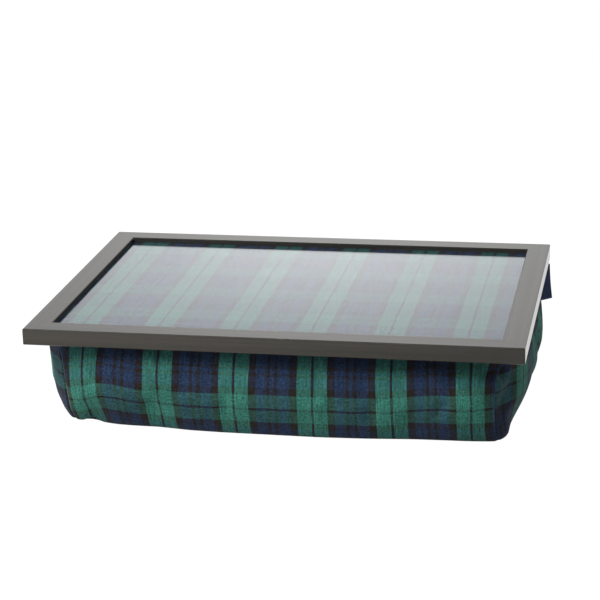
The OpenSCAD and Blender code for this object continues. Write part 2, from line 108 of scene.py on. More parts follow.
# Cushion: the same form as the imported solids, with the photograph's uneven corners. A pair holds the
# base and the top, and a triple the base, the widest band and the top. Key -1 is the left or front
# side, and 1 the right or back. The swell and the drawn-in edge are tables of a place and a move, in
# millimetres.
SEAM_X = {-1: (178 * MM, 190.3 * MM), 1: (190 * MM, 190.5 * MM)}
SEAM_Y = (131.2 * MM, 140 * MM)
FRONT_OUT = (132.4 * MM, 149.5 * MM, 144 * MM)
SIDE_OUT = {-1: (197.5 * MM, 213.2 * MM, 205 * MM), 1: (198.5 * MM, 212.5 * MM, 206 * MM)}
FRONT_SWELL = ((-110, 0), (-80, 4.5), (-50, 6), (40, 7), (80, 5), (120, 1), (150, 0))
FRONT_DRAWN_IN = ((43, 0), (52.5, 1.2), (62, 3.2), (77, 7))
DRAWN_SHARE = (0.5, 1.6)
CORNER_LIFT = {(-1, -1): 4 * MM, (1, -1): 1.2 * MM, (-1, 1): 4 * MM, (1, 1): 4 * MM}
BAND = (34 * MM, 62 * MM)
BAND_ROWS = (34 * MM, 38.5 * MM, 43.5 * MM, 52.5 * MM, 57.5 * MM, 62 * MM)
SEAM_HEIGHT = 77 * MM
CROWN_RISE = 3 * MM
FRONT_SQUARENESS = 1.15
SIDE_SQUARENESS = 1.8
CORNER_POWER = 3.7
CORNER_ROUND_X = {-1: (95 * MM, 50 * MM), 1: (50 * MM, 50 * MM)}
CORNER_ROUND_Y = 109 * MM
FLAT_SHARE_X = 0.734
FLAT_SHARE_Y = 0.22
FLAT_CELLS_X, ROUND_CELLS_X = 50, 11
FLAT_CELLS_Y, ROUND_CELLS_Y = 14, 20
LOWER_CELLS, UPPER_CELLS = 9, 4
COVER_THICKNESS = 0.8 * MM
BODY, TOP, GUSSET_LEFT, GUSSET_RIGHT = range(4)

# Folds of the loosely filled corners: place, reach, and how far the cloth moves there, in millimetres
TUCKS = (
    ((191, -140, 77), 12, (9, 1, 0)),
    ((198, -131, 64), 7, (-9, 5, 0)),
    ((185, -143, 66), 7, (0, 7, 0)),
    ((172, -148, 67), 7, (0, 4, 0)),
    ((158, -149, 69), 9, (0, 3, 0)),
    ((196, -121, 3), 14, (4, -2.5, 0)),
    ((206, 40, 20), 22, (3.3, 0, 0)),
    ((206, -10, 24), 16, (3.2, 0, 0)),
    ((-163, -134, 2), 4, (0, 3, 7)),
    ((-156, -139, 8), 10, (0, 4, 0)),
    ((-177, -133, 10), 6, (0, 3, 0)),
    ((-183, -130, 16), 22, (-2.3, -2.5, -1)),
    ((-203, -114, 67), 8, (-3, 0, 0)),
    ((-203, -114, 45), 17, (2.6, 0, 0)),
)

# Cloth simulation: its length, the cloth's growth, where it starts and what is held
CLOTH_FRAMES = 20
CLOTH_GROWTH = 0.02
START_INSET = 1.5 * MM
MOST_MOVE = 6 * MM
LOW_EDGE = (5 * MM, 22 * MM)
HELD_CROWN = 0.6
HELD_BASE = 0.3 * MM
ZIP_HELD_HALF = 140 * MM
ZIP_HELD_OUT = 147 * MM

# Seams and the puckers beside them, and the bead bag's distance from the cover
SEAM_DEPTH = 0.9 * MM
GROOVE_WIDTH = 1.6 * MM
PUCKER_HEIGHT = 0.9 * MM
PUCKER_START = 2 * MM
PUCKER_REACH = 16 * MM
PUCKER_PITCH = 11 * MM
FINE_PUCKER_PITCH = PUCKER_PITCH / 2.3
TABLE_GAP = 0.05 * MM
BAG_GAP = 4.5 * MM
BAG_BACK = 145.4 * MM

# Zip and its topstitching
ZIP_Z = 48 * MM
ZIP_OPENING = 4.7 * MM
ZIP_HALF_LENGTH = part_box("zip_top_stops")[1].x
BACK_WALL = 140 * MM
SLOT_SNAP = 4 * MM
TAPE_CELLS = (120, 6)
COIL_PITCH = 1.5 * MM
COIL_WIRE = 0.32 * MM
COIL_STEPS = 12
WIRE_SIDES = 6
STITCH_LENGTH = 2.6 * MM
STITCH_GAP = 0.5 * MM
STITCH_RADIUS = 0.22 * MM
STITCH_SETBACK = 3 * MM
STITCH_RISE = 0.25 * MM
STITCH_SUNK = 0.1 * MM

# Label, folded double at its free end
LABEL_HEIGHT = 35 * MM
LABEL_REACH = 29 * MM
LABEL_ROOT = 8 * MM
LABEL_LEAN = math.radians(5)
LABEL_TURN = math.radians(30)
LABEL_DROP = 6 * MM
LABEL_PLY = 0.35 * MM
LABEL_GAP = 0.4 * MM
LABEL_CURL = 1.6 * MM
CURL_START, CURL_TURN = 0.4, 2.4
LABEL_CELLS, FOLD_CELLS, LABEL_ROWS = 12, 8, 15

# Cloth under the clear sheet
PANEL_CELLS = (80, 56)
PANEL_SETBACK = 0.14 * MM
PANEL_RIPPLE = 0.08 * MM
RIPPLE_PITCH = 45.45 * MM
PANEL_THICKNESS = 0.25 * MM

# Finishes: the usual range of a noise, the frame's foil and wood, and what the sheet lets through
NOISE_RANGE = (0.3, 0.7)
FINE_STREAKS = (9, 900)
BROAD_STREAKS = (2.5, 260)
FOIL_DARK = (0.025, 0.0245, 0.023)
FOIL_LIGHT = (0.034, 0.0332, 0.031)
FOIL_WORN = (0.16, 0.155, 0.145)
RAW_WOOD = (0.13, 0.088, 0.062)
RAW_EDGE = 0.8 * MM
LIP_EDGE = 0.2 * MM
# Strip of the back rail's top beside the lip, made matt and low-reflecting: painted shade for a rounded
# inner edge
PAINTED_SHADE_BACK_STRIP = (1.2 * MM, 1.6 * MM)
SHEET_PASSES = (0.73, 0.77, 0.8)

# Floor: its grey, its glow, and what mirrors see of it in front, from left to right, and behind
FLOOR_SIZE = 12.0
FLOOR_GAP = 0.2 * MM
FLOOR_GREY = (0.5, 0.5, 0.5)
FLOOR_GLOW = 1.18
FLOOR_GLOW_SHARE = 0.84
FLOOR_MIRRORED_FRONT = (0.4, 0.2)
FLOOR_MIRRORED_BACK = (0.75, 0.75, 0.75)

# Surroundings: their even light, and what mirrors see in front and behind
WORLD_STRENGTH = 0.1
MIRRORED_TINT = {"Red": 0.64, "Green": 0.655, "Blue": 0.69}
MIRRORED_FRONT = 0.4
FACING_SPREAD = 0.3
# Glow of a white backdrop behind the tray: strength, direction across and up, and spread of each
GLOW = 0.9
GLOW_ACROSS, GLOW_SPREAD = -0.165, 0.135
GLOW_UP, GLOW_FALL = 0.27, 0.047

# Lamps: place, target, size and power in watts
LAMPS = {
    "top_softbox": ((-0.6, -0.7, 1.3), (0, -0.1, 0.05), (1.0, 0.8), 28),
    "left_softbox": ((-1.2, -0.75, 0.55), (0, -0.1, 0.05), (0.6, 0.6), 3.5),
    "rim_softbox": ((1.4, 1.0, 0.8), (0, 0, 0.05), (0.8, 0.8), 7),
}


def lerp(a, b, share):
    """The value at a share of the way from a to b."""
    return a + (b - a) * share


class Nodes:
    """A node tree, with short calls to add and join its nodes."""

    def __init__(self, tree):
        self.tree = tree
        self.tree.nodes.clear()

    def join(self, value, socket):
        if isinstance(value, bpy.types.NodeSocket):
            self.tree.links.new(value, socket)
        else:
            socket.default_value = value

    def add(self, kind, inputs=(), **settings):
        node = self.tree.nodes.new("ShaderNode" + kind)
        for key, value in settings.items():
            setattr(node, key, value)
        for key, value in dict(inputs).items():
            self.join(value, node.inputs[key])
        return node

    def math(self, operation, *values):
        node = self.add("Math", operation=operation)
        for socket, value in zip(node.inputs, values):
            self.join(value, socket)
        return node.outputs[0]

    def mix(self, factor, a, b, blend="MIX"):
        node = self.add("Mix", data_type="RGBA", blend_type=blend)
        colours = [s for s in node.inputs if s.type == "RGBA"]
        self.join(factor, node.inputs[0])
        self.join(a, colours[0])
        self.join(b, colours[1])
        return next(s for s in node.outputs if s.type == "RGBA")

    def scaled(self, vector, scale):
        node = self.add("VectorMath", operation="MULTIPLY")
        self.join(vector, node.inputs[0])
        self.join(scale, node.inputs[1])
        return node.outputs[0]

    def noise(self, vector, scale, detail=3.0, roughness=0.55):
        """Noise whose grain is 1 / scale metres along each axis."""
        vector = self.scaled(vector, scale)
        node = self.add("TexNoise", {"Vector": vector, "Scale": 1.0, "Detail": detail,
                                     "Roughness": roughness})
        return node.outputs["Fac"]

    def ranged(self, value, low, high, to_low, to_high):
        node = self.add("MapRange", {"Value": value, "From Min": low, "From Max": high,
                                     "To Min": to_low, "To Max": to_high})
        return node.outputs["Result"]

    def spread(self, value, to_low, to_high):
        """A noise's usual range stretched to another one."""
        return self.ranged(value, *NOISE_RANGE, to_low, to_high)

    def shade(self, colour, factor):
        """A colour times a number."""
        grey = self.add("CombineColor", {"Red": factor, "Green": factor, "Blue": factor})
        return self.mix(1.0, colour, grey.outputs[0], "MULTIPLY")

    def bump(self, height, distance, strength):
        node = self.add("Bump", {"Height": height, "Distance": distance, "Strength": strength})
        return node.outputs[0]

    def place(self):
        return self.add("TexCoord").outputs["Object"]


class Shader(Nodes):
    """A material's nodes round one Principled shader."""

    def __init__(self, name):
        self.material = bpy.data.materials.new(name)
        self.material.use_nodes = True
        super().__init__(self.material.node_tree)
        self.surface = self.add("BsdfPrincipled")
        self.output = self.add("OutputMaterial")
        self.join(self.surface.outputs[0], self.output.inputs["Surface"])

    def set(self, **inputs):
        for key, value in inputs.items():
            self.join(value, self.surface.inputs[key.replace("_", " ")])
        return self.material


def colour(rgb):
    return (*rgb, 1.0)


def tartan(name, blue=1.0):
    """Twill in the tartan's stripes, laid out on the mesh's cloth coordinates."""
    s = Shader(name)
    cloth = s.add("UVMap", uv_map="cloth").outputs[0]
    axes = s.add("SeparateXYZ", {"Vector": cloth}).outputs
    total = sum(width for _, width in STRIPES)

    def striped(axis):
        phase = s.math("FRACT", s.math("ADD", s.math("DIVIDE", axis, REPEAT), GREEN_CENTRE / total))
        ramp = s.add("ValToRGB", {"Fac": phase})
        ramp.color_ramp.interpolation = "CONSTANT"
        start = 0.0
        for n, (thread, width) in enumerate(STRIPES):
            stop = ramp.color_ramp.elements[0] if n == 0 else ramp.color_ramp.elements.new(start / total)
            stop.color = colour([v * (blue if thread == "blue" else 1.0) for v in THREADS[thread]])
            start += width
        ramp.color_ramp.elements.remove(ramp.color_ramp.elements[-1])
        return ramp.outputs[0]

    warp_slub = s.noise(cloth, (800, 60, 1))
    weft_slub = s.noise(cloth, (60, 800, 1))
    warp = s.shade(striped(axes[0]), s.spread(warp_slub, 0.62, 1.4))
    weft = s.shade(striped(axes[1]), s.spread(weft_slub, 0.62, 1.4))
    rib = s.math("PINGPONG", s.math("DIVIDE", s.math("ADD", axes[0], axes[1]), TWILL_WIDTH), 0.5)
    rib_share = s.ranged(rib, 0.1, 0.4, WARP_SHARE - 0.2, WARP_SHARE + 0.2)
    threads = s.mix(rib_share, weft, warp)
    fleck = s.spread(s.noise(cloth, (560, 560, 1), detail=1.0), 0.62, 1.38)
    blotch = s.spread(s.noise(cloth, (14, 14, 1), detail=2.0), 0.93, 1.07)
    cloth_colour = s.shade(threads, s.math("MULTIPLY", fleck, blotch))
    relief = s.math("ADD", s.math("MULTIPLY", rib, 0.8), s.math("ADD", warp_slub, weft_slub))
    return s.set(Base_Color=cloth_colour, Roughness=0.92, Specular_IOR_Level=0.18,
                 Sheen_Weight=0.1, Sheen_Roughness=0.45,
                 Normal=s.bump(relief, 0.12 * MM, 0.6))


def streak_grain(rail_axis, lengthwise, crosswise):
    """Noise cells per metre along each axis, for streaks that run along a rail."""
    return tuple(lengthwise if axis == rail_axis else crosswise for axis in range(3))


def slanted_share(s):
    """1 on bevels and other slanted faces, and 0 on faces that look along an axis."""
    normal = s.add("SeparateXYZ", {"Vector": s.add("NewGeometry").outputs["True Normal"]}).outputs
    steepest = s.math("ABSOLUTE", normal[0])
    for axis in normal[1:]:
        steepest = s.math("MAXIMUM", steepest, s.math("ABSOLUTE", axis))
    return s.ranged(steepest, 0.9, 0.97, 1.0, 0.0)


def frame_finish(name, rail_axis):
    """Dark foil-wrapped wood: fine streaks along the rail, matt inside the lip, a matt dark strip of
    painted shade on the back rail's top, and worn edges.
    """
    s = Shader(name)
    place = s.place()
    x, y, z = s.add("SeparateXYZ", {"Vector": place}).outputs
    from_middle = s.math("ABSOLUTE", x)
    streaks = s.noise(place, streak_grain(rail_axis, *FINE_STREAKS), detail=4.0, roughness=0.6)
    bands = s.noise(place, streak_grain(rail_axis, *BROAD_STREAKS), detail=2.0)
    grey = s.mix(s.spread(streaks, 0.0, 1.0), colour(FOIL_DARK), colour(FOIL_LIGHT))
    grey = s.shade(grey, s.spread(bands, 0.95, 1.05))

    slanted = slanted_share(s)
    scuffs = s.ranged(s.noise(place, (70, 70, 70)), 0.5, 0.68, 0.0, 1.0)
    worn = s.math("MULTIPLY", s.math("MULTIPLY", slanted, scuffs), 0.1)
    skin = s.mix(worn, grey, colour(FOIL_WORN))
    underside = cad_box[1].z - RAIL_HEIGHT
    raw = s.math("MULTIPLY", slanted, s.ranged(z, underside, underside + RAW_EDGE, 0.8, 0.0))
    skin = s.mix(raw, skin, colour(RAW_WOOD))

    lip_x, lip_y = HALF_WIDTH - RAIL_WIDTH, HALF_DEPTH - RAIL_WIDTH
    inside = s.ranged(from_middle, lip_x + LIP_EDGE, lip_x, 0.0, 1.0)
    # The matt part runs on past the back lip onto the rail's top, as a dark strip of painted shade
    inside = s.math("MULTIPLY", inside, s.ranged(y, lip_y + PAINTED_SHADE_BACK_STRIP[1], lip_y + PAINTED_SHADE_BACK_STRIP[0], 0.0, 1.0))
    inside = s.math("MULTIPLY", inside, s.ranged(y, -lip_y - LIP_EDGE, -lip_y, 0.0, 1.0))
    outside = s.ranged(from_middle, HALF_WIDTH - LIP_EDGE, HALF_WIDTH - LIP_EDGE / 4, 0.0, 1.0)
    roughness = s.math("ADD", s.spread(streaks, 0.22, 0.27), s.math("MULTIPLY", worn, 0.3))
    roughness = s.mix(inside, roughness, (0.75, 0.75, 0.75, 1))
    roughness = s.mix(outside, roughness, (0.09, 0.09, 0.09, 1))
    sheen = s.math("MULTIPLY", s.spread(bands, 0.78, 1.1), s.spread(streaks, 0.82, 1.12))
    level = s.math("MULTIPLY", s.ranged(inside, 0.0, 1.0, 1.0, 0.25), sheen)
    # The warm specular tint colours the frame's reflections: a painted warm reflection
    return s.set(Base_Color=skin, Roughness=roughness, IOR=1.7, Specular_IOR_Level=level,
                 Specular_Tint=(1.0, 0.93, 0.80, 1), Normal=s.bump(streaks, 0.015 * MM, 0.4))


def clear_acrylic(name):
    """Clear sheet that mirrors what stands behind it and lets the lamps reach the cloth."""
    s = Shader(name)
    haze = s.noise(s.place(), (40, 40, 40), detail=2.0)
    s.set(Base_Color=(0.97, 0.985, 0.985, 1), Transmission_Weight=1.0, IOR=1.49,
          Roughness=s.spread(haze, 0.0, 0.03))
    path = s.add("LightPath").outputs
    blocked = s.math("MAXIMUM", path["Is Shadow Ray"], path["Is Diffuse Ray"])
    open_air = s.add("BsdfTransparent", {"Color": colour(SHEET_PASSES)})
    mixed = s.add("MixShader", {0: blocked, 1: s.surface.outputs[0], 2: open_air.outputs[0]})
    s.join(mixed.outputs[0], s.output.inputs["Surface"])
    return s.material


def hardboard(name):
    s = Shader(name)
    place = s.place()
    fibres = s.noise(place, (700, 260, 400), detail=5.0, roughness=0.7)
    flecks = s.noise(place, (120, 60, 120), detail=3.0)
    brown = s.mix(s.spread(fibres, 0.0, 1.0), (0.20, 0.125, 0.07, 1), (0.36, 0.25, 0.15, 1))
    brown = s.shade(brown, s.ranged(flecks, 0.35, 0.65, 0.85, 1.1))
    return s.set(Base_Color=brown, Roughness=0.8, Specular_IOR_Level=0.3,
                 Normal=s.bump(fibres, 0.1 * MM, 0.5))


def metal(name, tint, roughness):
    s = Shader(name)
    scratches = s.noise(s.place(), (500, 500, 500), detail=4.0, roughness=0.65)
    tarnish = s.noise(s.place(), (120, 120, 120), detail=2.0)
    skin = s.shade(colour(tint), s.spread(tarnish, 0.8, 1.1))
    return s.set(Base_Color=skin, Metallic=1.0, Normal=s.bump(scratches, 0.02 * MM, 0.5),
                 Roughness=s.spread(scratches, roughness - 0.08, roughness + 0.1))


def pile(name, dark, light, pitch):
    """Hooks or loops in rows, as a bump over a woven ground."""
    s = Shader(name)
    place = s.place()
    tufts = s.add("TexVoronoi", {"Vector": place, "Scale": 1 / pitch, "Randomness": 0.7})
    depth = s.ranged(tufts.outputs["Distance"], 0.1, 0.6, 1.0, 0.0)
    fuzz = s.noise(place, (2500, 2500, 2500), detail=4.0)
    # The colour goes darker away from each tuft's middle: painted shade between the hooks or loops, with
    # random fuzz
    shade = s.math("MULTIPLY", depth, s.spread(fuzz, 0.5, 1.2))
    relief = s.math("ADD", depth, s.math("MULTIPLY", fuzz, 0.5))
    return s.set(Base_Color=s.mix(shade, colour(dark), colour(light)), Roughness=0.75,
                 Specular_IOR_Level=0.3, Sheen_Weight=0.3, Normal=s.bump(relief, 0.5 * MM, 0.8))


def ribbed_cloth(name, tint, rib, sheen=0.3, roughness=0.7):
    """Tape or label cloth with fine ribs, on the mesh's cloth coordinates."""
    s = Shader(name)
    cloth = s.add("UVMap", uv_map="cloth").outputs[0]
    axes = s.add("SeparateXYZ", {"Vector": cloth}).outputs
    ribs = s.math("PINGPONG", s.math("DIVIDE", axes[0], rib), 0.5)
    cross = s.math("PINGPONG", s.math("DIVIDE", axes[1], rib * 1.6), 0.5)
    weave = s.math("ADD", ribs, s.math("MULTIPLY", cross, 0.6))
    slub = s.noise(cloth, (900, 900, 1))
    # The colour follows the ribs, lighter on their tops and darker in their hollows: painted light and
    # shade, with random slub
    shade = s.math("MULTIPLY", s.ranged(weave, 0.0, 0.8, 0.7, 1.25), s.spread(slub, 0.85, 1.15))
    return s.set(Base_Color=s.shade(colour(tint), shade), Roughness=roughness, Specular_IOR_Level=0.3,
                 Sheen_Weight=sheen, Sheen_Roughness=0.4, Normal=s.bump(weave, 0.12 * MM, 0.7))


def bag_cloth(name):
    """Thin pale lining pressed over the beads inside."""
    s = Shader(name)
    place = s.place()
    beads = s.add("TexVoronoi", {"Vector": place, "Scale": 280.0, "Randomness": 0.9})
    weave = s.noise(place, (1800, 1800, 1800), detail=2.0)
    lump = s.ranged(beads.outputs["Distance"], 0.0, 0.7, 1.0, 0.0)
    tint = s.shade((0.70, 0.68, 0.62, 1), s.spread(weave, 0.9, 1.05))
    return s.set(Base_Color=tint, Roughness=0.85, Specular_IOR_Level=0.25,
                 Normal=s.bump(s.math("ADD", lump, s.math("MULTIPLY", weave, 0.2)), 0.6 * MM, 0.6))


def moulded(name, tint, roughness=0.45):
    s = Shader(name)
    grain = s.noise(s.place(), (1500, 1500, 1500), detail=2.0)
    return s.set(Base_Color=s.shade(colour(tint), s.spread(grain, 0.85, 1.15)),
                 Roughness=s.spread(grain, roughness - 0.05, roughness + 0.1),
                 Normal=s.bump(grain, 0.02 * MM, 0.4))


def white_floor(name):
    """Pale floor: near white to the camera and to mirrors, with a soft shadow and little bounced light."""
    s = Shader(name)
    place = s.place()
    x, y, _ = s.add("SeparateXYZ", {"Vector": place}).outputs
    tone = s.noise(place, (3, 3, 3), detail=1.0)
    s.set(Base_Color=s.shade(colour(FLOOR_GREY), s.spread(tone, 0.99, 1.01)), Roughness=0.9,
          Specular_IOR_Level=0.1)
    path = s.add("LightPath").outputs
    front = s.ranged(x, -0.3, 0.2, *FLOOR_MIRRORED_FRONT)
    mirrored = s.mix(s.ranged(y, -0.25, 0.0, 0.0, 1.0), front, colour(FLOOR_MIRRORED_BACK))
    seen = s.math("MAXIMUM", path["Is Camera Ray"], path["Is Transmission Ray"])
    share = s.math("MAXIMUM", s.math("MULTIPLY", seen, FLOOR_GLOW_SHARE), path["Is Glossy Ray"])
    glow = s.add("Emission", {"Color": s.mix(path["Is Glossy Ray"], (1, 1, 1, 1), mirrored),
                              "Strength": FLOOR_GLOW})
    mixed = s.add("MixShader", {0: share, 1: s.surface.outputs[0], 2: glow.outputs[0]})
    s.join(mixed.outputs[0], s.output.inputs["Surface"])
    return s.material


def mesh_object(name, vertices, faces, cloth=None):
    """A mesh in the scene. cloth gives each vertex's place on the flat cloth."""
    mesh = bpy.data.meshes.new(name)
    mesh.from_pydata([tuple(v) for v in vertices], [], faces)
    if cloth is not None:
        layer = mesh.uv_layers.new(name="cloth")
        for loop in mesh.loops:
            layer.data[loop.index].uv = cloth[loop.vertex_index]
    made = bpy.data.objects.new(name, mesh)
    bpy.context.scene.collection.objects.link(made)
    return made


def new_piece(name, vertices, faces, material, body, node=None, cloth=None, smooth=True):
    """A mesh piece with its finish, on a body."""
    piece = mesh_object(name, vertices, faces, cloth)
    finish_piece(piece, material, body, node, smooth)
    return piece


def finish_piece(piece, material, body, node=None, smooth=True):
    piece.data.materials.clear()
    piece.data.materials.append(material)
    for polygon in piece.data.polygons:
        polygon.material_index = 0
        polygon.use_smooth = smooth
    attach(piece, body)
    if node:
        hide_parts(node)


def dress(nodes, material, bevel=0.0):
    """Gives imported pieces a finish, and rounds their edges slightly."""
    for node in nodes:
        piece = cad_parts[node]
        for slot in piece.material_slots:
            slot.material = material
        if bevel:
            rounding = piece.modifiers.new("soft edges", "BEVEL")
            rounding.width = bevel
            rounding.segments = 2
            rounding.limit_method = "ANGLE"
            rounding.angle_limit = math.radians(30)
            rounding.harden_normals = True


def grid_faces(wide, high, start=0):
    """Faces of a grid of vertices laid out row by row, turned the right way for u right and v up."""
    return [(start + v * wide + u, start + v * wide + u + 1,
             start + (v + 1) * wide + u + 1, start + (v + 1) * wide + u)
            for v in range(high - 1) for u in range(wide - 1)]


# Cushion form
def grid_shares(flat, flat_cells, round_cells):
    rounded = np.linspace(flat, 1, round_cells + 1)[1:]
    return np.concatenate([-rounded[::-1], np.linspace(-flat, flat, flat_cells + 1), rounded])


def section(base, widest, top, low, squareness):
    """Upright section of a wall, from the base to the top seam: distances out, and heights."""
    lower = np.radians(np.linspace(0, 90, LOWER_CELLS + 1)[:-1])
    upper = np.radians(np.linspace(0, 90, UPPER_CELLS + 1)[1:])
    out = np.concatenate([lerp(base, widest, np.sin(lower) ** squareness),
                          np.full(len(BAND_ROWS), widest), lerp(top, widest, np.cos(upper))])
    height = np.concatenate([lerp(BAND[0], low, np.cos(lower) ** squareness), BAND_ROWS,
                             lerp(BAND[1], SEAM_HEIGHT, np.sin(upper))])
    return out, height


def fullness(share, flat):
    past = np.clip((np.abs(share) - flat) / (1 - flat), 0, 1)
    return 1 - past ** CORNER_POWER


def by_side(share, values):
    """values[-1] where share is negative, and values[1] elsewhere."""
    return np.where(share < 0, values[-1], values[1])


columns = grid_shares(FLAT_SHARE_X, FLAT_CELLS_X, ROUND_CELLS_X)
ranks = grid_shares(FLAT_SHARE_Y, FLAT_CELLS_Y, ROUND_CELLS_Y)
front_out, front_height = section(*FRONT_OUT, 0.0, FRONT_SQUARENESS)
side_out, side_height = {}, {}
for side in (-1, 1):
    side_out[side], side_height[side] = section(*SIDE_OUT[side], 0.0, SIDE_SQUARENESS)
ROWS = len(front_out)


def seam_line(side_x, side_y):
    """Points of one corner seam, from the base up."""
    lift = CORNER_LIFT[side_x, side_y]
    out, height = section(SEAM_Y[0], SEAM_Y[1], SEAM_Y[1], lift, FRONT_SQUARENESS)
    rise = (height - lift) / (SEAM_HEIGHT - lift)
    across = lerp(SEAM_X[side_x][0], SEAM_X[side_x][1], rise)
    return np.stack([side_x * across, side_y * out, height], axis=-1)


def column_fullness(row_share):
    """Fullness along the front and back at each row and column."""
    rounds = {side: lerp(CORNER_ROUND_X[side][0], CORNER_ROUND_X[side][1], row_share) for side in (-1, 1)}
    flats = {side: 1 - rounds[side] / SEAM_X[side][1] for side in (-1, 1)}
    return np.stack([fullness(columns, by_side(columns, {k: v[row] for k, v in flats.items()}))
                     for row in range(ROWS)])


FULL_X = column_fullness(np.clip(front_height / BAND[0], 0, 1))
FULL_Y = fullness(ranks, 1 - CORNER_ROUND_Y / SEAM_Y[1])


def wall_grid(side_y):
    """Points of the front or back wall, row by row from the base."""
    left, right = seam_line(-1, side_y), seam_line(1, side_y)
    seam_across = np.where(columns[None, :] < 0, -left[:, :1], right[:, :1])
    seam_out = np.where(columns[None, :] < 0, side_y * left[:, 1:2], side_y * right[:, 1:2])
    seam_high = np.where(columns[None, :] < 0, left[:, 2:], right[:, 2:])
    out = lerp(seam_out, front_out[:, None], FULL_X)
    if side_y < 0:
        swell = np.interp(columns * SEAM_X[1][1], *np.array(FRONT_SWELL).T * MM)
        out = out + swell * np.clip(1 - front_height / BAND[0], 0, 1)[:, None]
        drawn = np.interp(front_height, *np.array(FRONT_DRAWN_IN).T * MM)
        out = out - drawn[:, None] * FULL_X * np.interp(columns, (-1, 1), DRAWN_SHARE)
    high = lerp(seam_high, front_height[:, None], FULL_X)
    return np.stack([columns[None, :] * seam_across, side_y * out, high], axis=-1)


def side_grid(side_x):
    """Points of a side wall, row by row from the base."""
    front, back = seam_line(side_x, -1), seam_line(side_x, 1)
    near = ranks[None, :] < 0
    seam_across = np.where(near, side_x * front[:, :1], side_x * back[:, :1])
    seam_out = np.where(near, -front[:, 1:2], back[:, 1:2])
    seam_high = np.where(near, front[:, 2:], back[:, 2:])
    across = lerp(seam_across, side_out[side_x][:, None], FULL_Y[None, :])
    high = lerp(seam_high, side_height[side_x][:, None], FULL_Y[None, :])
    return np.stack([side_x * across, ranks[None, :] * seam_out, high], axis=-1)


def level_grid(row):
    """Points of the base or the top, between the walls' edges at that row."""
    walls = {side: wall_grid(side)[row] for side in (-1, 1)}
    sides = {side: side_grid(side)[row] for side in (-1, 1)}
    x_edge = np.where(columns[None, :] < 0, -sides[-1][:, :1], sides[1][:, :1])
    y_edge = np.where(ranks[:, None] < 0, -walls[-1][None, :, 1], walls[1][None, :, 1])
    full_x, full_y = FULL_X[row][None, :], FULL_Y[:, None]
    if row == 0:
        lift = np.array([[CORNER_LIFT[-1 if x < 0 else 1, -1 if y < 0 else 1] for x in columns]
                         for y in ranks])
        height = lift * (1 - full_x) * (1 - full_y)
    else:
        height = SEAM_HEIGHT + CROWN_RISE * full_x * full_y
    return np.stack([columns[None, :] * x_edge, ranks[:, None] * y_edge, height], axis=-1)


def arc_lengths(out, height):
    steps = np.hypot(np.diff(out), np.diff(height))
    return np.concatenate([[0], np.cumsum(steps)])


def tucked(points):
    moved = points.copy()
    for place, reach, move in TUCKS:
        distance = np.linalg.norm(points - np.array(place) * MM, axis=1) / (reach * MM)
        moved += np.exp(-distance ** 2)[:, None] * np.array(move) * MM
    return moved


def closed_cushion():
    """The whole cover as one welded mesh, with its panels in the material index."""
    front, back, base, top = wall_grid(-1), wall_grid(1), level_grid(0), level_grid(ROWS - 1)
    left, right = side_grid(-1), side_grid(1)
    wall_arc = arc_lengths(front_out, front_height)
    drawn = np.clip((SEAM_HEIGHT - front_height) / SPREAD_HEIGHT, 0, 1)[:, None]
    across = columns * SEAM_X[1][1]
    along = across * (1 - by_side(columns, FRONT_SPREAD) * drawn) - FRONT_GREEN_X
    along = along + np.interp(across, *np.array(FRONT_WRAP).T * MM) * lerp(WRAP_AT_TOP, 1, drawn)
    skew = np.interp(across, *np.array(FRONT_SKEW).T * MM)
    front_v = wall_arc[:, None] - np.interp(FRONT_GREEN_Z, front_height, wall_arc) - skew
    base_v = wall_arc[0] - np.interp(FRONT_GREEN_Z, front_height, wall_arc) - FRONT_OUT[0] * (1 + ranks)
    back_v = base_v[-1] - wall_arc
    vertices, faces, cloth, panels = [], [], [], []

    def lay(points, u, v, panel, flipped):
        start = len(vertices)
        high, wide = points.shape[:2]
        vertices.extend(points.reshape(-1, 3))
        u = np.broadcast_to(u, (high, wide))
        v = v if v.ndim == 2 else np.broadcast_to(v[:, None], (high, wide))
        cloth.extend(zip(u.ravel(), v.ravel()))
        quads = grid_faces(wide, high, start)
        faces.extend(tuple(reversed(q)) if flipped else q for q in quads)
        panels.extend([panel] * len(quads))

    lay(front, along, front_v, BODY, False)
    lay(base, along[0], base_v, BODY, True)
    lay(back, along, back_v, BODY, True)
    lay(top, along[-1], ranks * SEAM_Y[1], TOP, False)
    for side, points, panel in ((-1, left, GUSSET_LEFT), (1, right, GUSSET_RIGHT)):
        arc = arc_lengths(side_out[side], side_height[side])
        v = arc - np.interp(GUSSET_GREEN_Z[side], side_height[side], arc)
        lay(points, ranks * SEAM_Y[1] + GUSSET_GREEN_Y[side], v, panel, side < 0)
    form = mesh_object("cushion form", tucked(np.array(vertices)), faces, cloth)
    for polygon, panel in zip(form.data.polygons, panels):
        polygon.material_index = panel
    weld = form.modifiers.new("weld", "WELD")
    weld.merge_threshold = 0.01 * MM
    bake_modifiers(form)
    return form


def bake_modifiers(piece):
    """Replaces a piece's mesh by the one its modifiers make."""
    graph = bpy.context.evaluated_depsgraph_get()
    made = bpy.data.meshes.new_from_object(piece.evaluated_get(graph), preserve_all_data_layers=True,
                                           depsgraph=graph)
    piece.modifiers.clear()
    old = piece.data
    piece.data = made
    bpy.data.meshes.remove(old)


def coordinates(mesh):
    points = np.empty(len(mesh.vertices) * 3)
    mesh.vertices.foreach_get("co", points)
    return points.reshape(-1, 3)


def vertex_normals(mesh):
    normals = np.empty(len(mesh.vertices) * 3)
    mesh.vertices.foreach_get("normal", normals)
    return normals.reshape(-1, 3)


def put_coordinates(mesh, points):
    mesh.vertices.foreach_set("co", points.reshape(-1))
    mesh.update()


def seam_vertices(mesh):
    """Vertices where two panels of the cover meet."""
    panels = [set() for _ in mesh.vertices]
    for polygon in mesh.polygons:
        for vertex in polygon.vertices:
            panels[vertex].add(polygon.material_index)
    return np.array([len(found) > 1 for found in panels])


